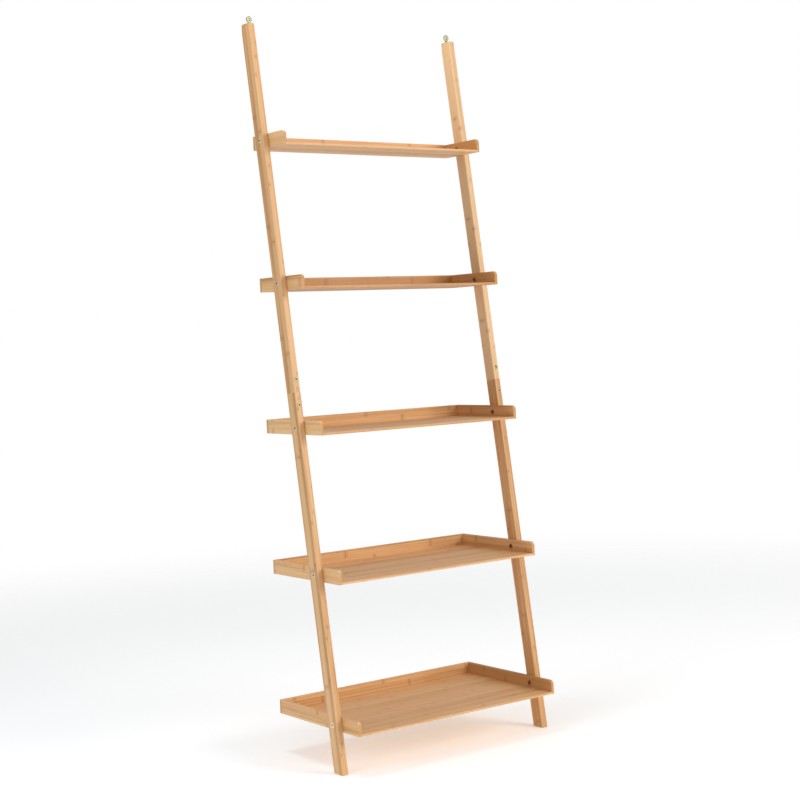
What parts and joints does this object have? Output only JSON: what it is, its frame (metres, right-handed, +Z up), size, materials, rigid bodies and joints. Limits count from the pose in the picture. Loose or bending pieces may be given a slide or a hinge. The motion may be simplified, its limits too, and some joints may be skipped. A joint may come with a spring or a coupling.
{
  "type": "leaning ladder shelf",
  "caption": "Bamboo ladder shelf that leans on a wall: raked side rails in spliced halves carry open-fronted trays that get shallower towards the top.",
  "frame": {"origin": "on the floor, at the middle of the footprint from the lowest tray's front edge to the wall", "axes": "+Z up, +X to the right of a person who faces the shelf, +Y towards the wall"},
  "size_m": [0.6308, 0.3408, 1.7997],
  "materials": {
    "rail_bamboo": "satin clear varnish over laminated bamboo strips",
    "board_bamboo": "satin clear varnish over laminated bamboo strips",
    "panel_bamboo": "satin clear varnish over laminated bamboo strips",
    "dowel_beech": "plain, unvarnished",
    "bronzed_steel": "bronze-plated, satin",
    "splice_steel": "zinc-plated",
    "eye_brass": "antique brass plating, satin"
  },
  "bodies": {
    "root": {"left_rail_lower": "rail_bamboo", "left_rail_upper": "rail_bamboo", "left_splice_rod": "splice_steel", "left_splice_screws": "bronzed_steel", "left_wall_eye": "eye_brass", "right_rail_lower": "rail_bamboo", "right_rail_upper": "rail_bamboo", "right_splice_rod": "splice_steel", "right_splice_screws": "bronzed_steel", "right_wall_eye": "eye_brass", "tray_1_back": "board_bamboo", "tray_1_bolts": "bronzed_steel", "tray_1_corner_dowels": "dowel_beech", "tray_1_left_side": "board_bamboo", "tray_1_locating_dowels": "dowel_beech", "tray_1_panel": "panel_bamboo", "tray_1_right_side": "board_bamboo", "tray_1_sleeve_nuts": "bronzed_steel", "tray_2_back": "board_bamboo", "tray_2_bolts": "bronzed_steel", "tray_2_corner_dowels": "dowel_beech", "tray_2_left_side": "board_bamboo", "tray_2_locating_dowels": "dowel_beech", "tray_2_panel": "panel_bamboo", "tray_2_right_side": "board_bamboo", "tray_2_sleeve_nuts": "bronzed_steel", "tray_3_back": "board_bamboo", "tray_3_bolts": "bronzed_steel", "tray_3_corner_dowels": "dowel_beech", "tray_3_left_side": "board_bamboo", "tray_3_locating_dowels": "dowel_beech", "tray_3_panel": "panel_bamboo", "tray_3_right_side": "board_bamboo", "tray_3_sleeve_nuts": "bronzed_steel", "tray_4_back": "board_bamboo", "tray_4_bolts": "bronzed_steel", "tray_4_corner_dowels": "dowel_beech", "tray_4_left_side": "board_bamboo", "tray_4_locating_dowels": "dowel_beech", "tray_4_panel": "panel_bamboo", "tray_4_right_side": "board_bamboo", "tray_4_sleeve_nuts": "bronzed_steel", "tray_5_back": "board_bamboo", "tray_5_bolts": "bronzed_steel", "tray_5_corner_dowels": "dowel_beech", "tray_5_left_side": "board_bamboo", "tray_5_locating_dowels": "dowel_beech", "tray_5_panel": "panel_bamboo", "tray_5_right_side": "board_bamboo", "tray_5_sleeve_nuts": "bronzed_steel"}
  },
  "joints": []
}
